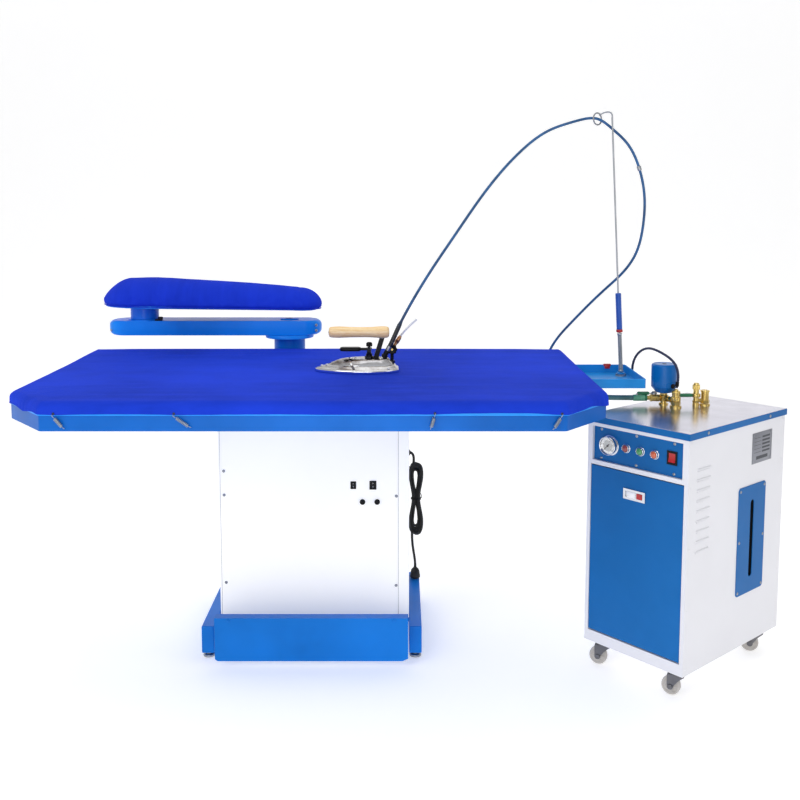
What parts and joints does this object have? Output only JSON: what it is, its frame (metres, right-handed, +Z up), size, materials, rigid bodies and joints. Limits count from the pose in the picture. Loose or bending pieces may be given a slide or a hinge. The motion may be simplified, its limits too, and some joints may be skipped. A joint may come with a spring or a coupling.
{
  "type": "steam ironing station",
  "caption": "Vacuum ironing table with swing arm sleeve board, steam iron on a pole-hung hose, and a wheeled electric steam generator.",
  "frame": {"origin": "bottom centre of the whole station, on the floor", "axes": "+Z up, +X along the table's length towards the generator, -Y towards the operator"},
  "size_m": [2.0712, 1.029, 1.5514],
  "materials": {
    "frame_blue": "azure gloss powder coat",
    "base_blue": "azure gloss powder coat",
    "gen_blue": "satin blue powder coat",
    "white_paint": "satin white powder coat",
    "steel": "zinc plated steel",
    "lid_steel": "polished stainless sheet",
    "foam": "open cell foam",
    "cover_cloth": "royal blue polyester cover",
    "sleeve_cloth": "royal blue polyester cover",
    "black_plastic": "satin black",
    "white_plastic": "satin off-white nylon",
    "black_rubber": "matt black",
    "chrome": "polished chrome",
    "bakelite": "black phenolic",
    "wood": "turned beech, clear varnish",
    "brass": "machined brass",
    "hose": "slate blue rubber steam hose",
    "fork_zinc": "zinc plated pressing",
    "red_plastic": "red translucent rocker",
    "lamp": "coloured lens in chrome ring",
    "green_plastic": "green grip",
    "canister_blue": "blue enamel",
    "pole_blue": "blue sleeve",
    "boiler_steel": "stainless pressure vessel",
    "fan_metal": "pressed aluminium"
  },
  "bodies": {
    "station": {"table_frame": "frame_blue", "deck_grid": "steel", "ironing_pad": "foam", "table_cover": "cover_cloth", "cover_hooks": "steel", "cabinet_shell": "white_paint", "cabinet_front_panel": "white_paint", "switch_housings": "black_plastic", "fan_housing": "steel", "base_frame": "base_blue", "levelling_feet": "white_plastic", "electric_cables": "black_rubber", "arm_bracket": "frame_blue", "iron_tray": "frame_blue", "steam_hose": "hose", "gen_cabinet": "white_paint", "gen_lid": "lid_steel", "gen_control_panel": "gen_blue", "gauge_body": "chrome", "indicator_lamps": "lamp", "sight_plate": "gen_blue", "boiler_tank": "boiler_steel", "feed_pump": "fan_metal", "steam_fittings": "brass", "solenoid_valve": "canister_blue", "panel_screws": "steel"},
    "swing_arm": {"swing_arm": "frame_blue"},
    "sleeve_board": {"sleeve_board_base": "frame_blue", "sleeve_board_pad": "sleeve_cloth"},
    "pedal": {"foot_pedal": "base_blue"},
    "suction_switch": {"suction_rocker": "black_plastic"},
    "heater_switch": {"heater_rocker": "black_plastic"},
    "fan_rotor": {"fan_impeller": "fan_metal"},
    "hose_pole": {"pole_spring": "steel", "pole_rod": "steel", "pole_grip": "pole_blue"},
    "iron": {"iron_soleplate": "chrome", "iron_cover": "chrome", "iron_handle_bracket": "bakelite", "iron_handle": "wood", "iron_fittings": "brass"},
    "steam_knob": {"iron_valve_knob": "bakelite"},
    "steam_trigger": {"iron_paddle": "bakelite"},
    "rear_knob": {"iron_rear_knob": "bakelite"},
    "gen_door": {"gen_door": "gen_blue", "gen_latch_frame": "chrome"},
    "door_latch": {"gen_latch": "white_plastic"},
    "door_button": {"latch_button": "red_plastic"},
    "gauge_needle": {"gauge_needle": "black_plastic"},
    "power_switch": {"gen_rocker": "red_plastic"},
    "steam_valve_1": {"valve_lever_1": "green_plastic"},
    "steam_valve_2": {"valve_lever_2": "green_plastic"},
    "caster_fl": {"caster_fork_fl": "fork_zinc"},
    "wheel_fl": {"caster_wheel_fl": "white_plastic"},
    "caster_fr": {"caster_fork_fr": "fork_zinc"},
    "wheel_fr": {"caster_wheel_fr": "white_plastic"},
    "caster_rl": {"caster_fork_rl": "fork_zinc"},
    "wheel_rl": {"caster_wheel_rl": "white_plastic"},
    "caster_rr": {"caster_fork_rr": "fork_zinc"},
    "wheel_rr": {"caster_wheel_rr": "white_plastic"}
  },
  "joints": [
    {"name": "arm_swing", "type": "hinge", "parent": "station", "child": "swing_arm", "pos_m": [-0.41425, 0.40555, 0.88], "axis": [0, 0, 1], "range_deg": [-30, 85]},
    {"name": "sleeve_board_swivel", "type": "hinge", "parent": "swing_arm", "child": "sleeve_board", "pos_m": [-0.88525, 0.40555, 0.9], "axis": [0, 0, 1], "range_deg": [-20, 120]},
    {"name": "pedal_press", "type": "hinge", "parent": "station", "child": "pedal", "pos_m": [-0.28325, 0.11555, 0.044], "axis": [1, 0, 0], "range_deg": [0, 3], "stiffness_Nm_per_rad": 120, "springref_deg": -114.59},
    {"name": "suction_switch_rock", "type": "hinge", "parent": "station", "child": "suction_switch", "pos_m": [-0.18725, -0.04405, 0.486], "axis": [1, 0, 0], "range_deg": [0, 12]},
    {"name": "heater_switch_rock", "type": "hinge", "parent": "station", "child": "heater_switch", "pos_m": [-0.13125, -0.04405, 0.486], "axis": [1, 0, 0], "range_deg": [0, 12]},
    {"name": "fan_spin", "type": "hinge", "parent": "station", "child": "fan_rotor", "pos_m": [-0.30025, 0.13555, 0.45], "axis": [0, 0, 1], "continuous": true},
    {"name": "pole_sway", "type": "hinge", "parent": "station", "child": "hose_pole", "pos_m": [0.60475, 0.11555, 0.785], "axis": [0, 1, 0], "range_deg": [-5, 5], "stiffness_Nm_per_rad": 20, "deforming": ["steam_hose"]},
    {"name": "iron_lift", "type": "slide", "parent": "station", "child": "iron", "axis": [0, 0, 1], "range_m": [0, 0.15], "deforming": ["steam_hose"]},
    {"name": "steam_knob_turn", "type": "hinge", "parent": "iron", "child": "steam_knob", "pos_m": [-0.14025, -0.05345, 0.89], "axis": [0, 0, 1], "range_deg": [0, 270]},
    {"name": "steam_trigger_squeeze", "type": "hinge", "parent": "iron", "child": "steam_trigger", "pos_m": [-0.14025, -0.07345, 0.882], "axis": [0, 1, 0], "range_deg": [0, 8], "stiffness_Nm_per_rad": 0.3, "springref_deg": -17.19},
    {"name": "rear_knob_turn", "type": "hinge", "parent": "iron", "child": "rear_knob", "pos_m": [-0.07625, -0.06045, 0.879], "axis": [0, 1, 0], "range_deg": [0, 270]},
    {"name": "door_open", "type": "hinge", "parent": "station", "child": "gen_door", "pos_m": [0.57071, -0.25523, 0.116], "axis": [0.66, -0.7513, 0], "range_deg": [0, 90]},
    {"name": "latch_pull", "type": "hinge", "parent": "gen_door", "child": "door_latch", "pos_m": [0.54871, -0.23928, 0.519], "axis": [0, 0, -1], "range_deg": [0, 60]},
    {"name": "latch_button_press", "type": "slide", "parent": "gen_door", "child": "door_button", "axis": [0.7513, 0.66, 0], "range_m": [0, 0.003]},
    {"name": "gauge_sweep", "type": "hinge", "parent": "station", "child": "gauge_needle", "pos_m": [0.50671, -0.19299, 0.637], "axis": [0.7513, 0.66, 0], "range_deg": [0, 270]},
    {"name": "power_switch_rock", "type": "hinge", "parent": "station", "child": "power_switch", "pos_m": [0.6416, -0.33138, 0.639], "axis": [0.66, -0.7513, 0], "range_deg": [0, 12]},
    {"name": "steam_valve_1_turn", "type": "hinge", "parent": "station", "child": "steam_valve_1", "pos_m": [0.67375, -0.00445, 0.744], "axis": [0, 0, 1], "range_deg": [0, 90]},
    {"name": "steam_valve_2_turn", "type": "hinge", "parent": "station", "child": "steam_valve_2", "pos_m": [0.79175, -0.01445, 0.74], "axis": [0, 0, 1], "range_deg": [0, 90]},
    {"name": "caster_swivel_fl", "type": "hinge", "parent": "station", "child": "caster_fl", "pos_m": [0.51912, -0.14348, 0.065], "axis": [0, 0, 1], "continuous": true},
    {"name": "wheel_spin_fl", "type": "hinge", "parent": "caster_fl", "child": "wheel_fl", "pos_m": [0.50355, -0.13665, 0.025], "axis": [-0.4019, -0.9157, 0], "continuous": true},
    {"name": "caster_swivel_fr", "type": "hinge", "parent": "station", "child": "caster_fr", "pos_m": [0.67488, -0.32078, 0.065], "axis": [0, 0, 1], "continuous": true},
    {"name": "wheel_spin_fr", "type": "hinge", "parent": "caster_fr", "child": "wheel_fr", "pos_m": [0.65997, -0.31262, 0.025], "axis": [-0.4802, -0.8771, 0], "continuous": true},
    {"name": "caster_swivel_rl", "type": "hinge", "parent": "station", "child": "caster_rl", "pos_m": [0.81662, 0.11788, 0.065], "axis": [0, 0, 1], "continuous": true},
    {"name": "wheel_spin_rl", "type": "hinge", "parent": "caster_rl", "child": "wheel_rl", "pos_m": [0.81329, 0.13455, 0.025], "axis": [-0.9806, -0.1959, 0], "continuous": true},
    {"name": "caster_swivel_rr", "type": "hinge", "parent": "station", "child": "caster_rr", "pos_m": [0.97238, -0.05942, 0.065], "axis": [0, 0, 1], "continuous": true},
    {"name": "wheel_spin_rr", "type": "hinge", "parent": "caster_rr", "child": "wheel_rr", "pos_m": [0.95586, -0.05539, 0.025], "axis": [-0.2368, -0.9715, 0], "continuous": true}
  ]
}
